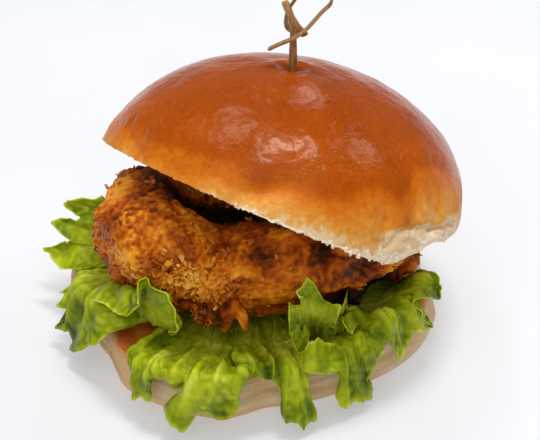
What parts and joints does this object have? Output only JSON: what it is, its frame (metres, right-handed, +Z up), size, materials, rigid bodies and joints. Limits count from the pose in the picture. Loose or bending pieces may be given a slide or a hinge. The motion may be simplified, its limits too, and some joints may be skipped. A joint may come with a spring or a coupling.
{
  "type": "fish burger",
  "caption": "Fish burger: glossy domed bun crown set down tilted, crispy breaded fish fillet, curly lettuce, soft bun heel and a knotted bamboo pick through the middle.",
  "frame": {"origin": "middle of the heel's flat underside, where the burger stands", "axes": "+Z up; the raised, open side of the crown faces -Y and -X"},
  "size_m": [0.1186, 0.1159, 0.1026],
  "materials": {
    "bun_crust": "glazed baked crust, golden below, pale crumb at the cut",
    "bun_side": "soft matt bread",
    "fried_crumb": "rough, slightly oily",
    "lettuce": "moist, half matt",
    "bamboo": "matt"
  },
  "bodies": {
    "root": {"crown": "bun_crust", "heel": "bun_side", "fish_fillet": "fried_crumb", "lettuce_left_back": "lettuce", "lettuce_left": "lettuce", "lettuce_left_inner": "lettuce", "lettuce_front_left": "lettuce", "lettuce_front": "lettuce", "lettuce_curl": "lettuce", "lettuce_fold": "lettuce", "lettuce_right_front": "lettuce", "lettuce_frond": "lettuce", "lettuce_right": "lettuce", "lettuce_right_back": "lettuce", "lettuce_back": "lettuce", "pick": "bamboo"}
  },
  "joints": []
}
